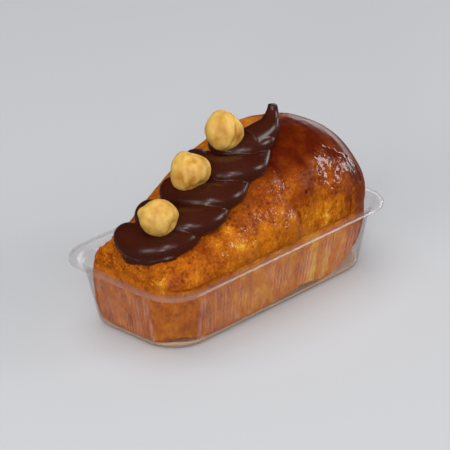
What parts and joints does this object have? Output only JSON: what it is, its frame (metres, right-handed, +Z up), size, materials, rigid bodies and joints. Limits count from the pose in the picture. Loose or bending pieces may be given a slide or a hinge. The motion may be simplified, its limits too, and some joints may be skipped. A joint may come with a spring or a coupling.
{
  "type": "filled rum baba",
  "caption": "Filled rum baba lying in a clear lipped tray: a syrup-soaked yeast cake cut open along the top, with a piped rope of chocolate cream and whole roasted hazelnuts on it.",
  "frame": {"origin": "middle of the tray's underside, on the surface that the tray stands on", "axes": "+X along the tray from the cake's narrow foot to its domed cap, +Z up, and the cream leans towards -Y"},
  "size_m": [0.111, 0.0584, 0.0686],
  "materials": {
    "clear_tray": "clear thermoformed plastic, glossy",
    "soaked_cake": "golden to dark brown crust, wet with syrup",
    "chocolate_cream": "smooth piped chocolate and hazelnut cream, satin to glossy",
    "roasted_hazelnut": "peeled, lightly roasted, waxy"
  },
  "bodies": {
    "root": {"tray": "clear_tray", "baba": "soaked_cake", "cream": "chocolate_cream", "hazelnut_1": "roasted_hazelnut", "hazelnut_2": "roasted_hazelnut", "hazelnut_3": "roasted_hazelnut"}
  },
  "joints": []
}
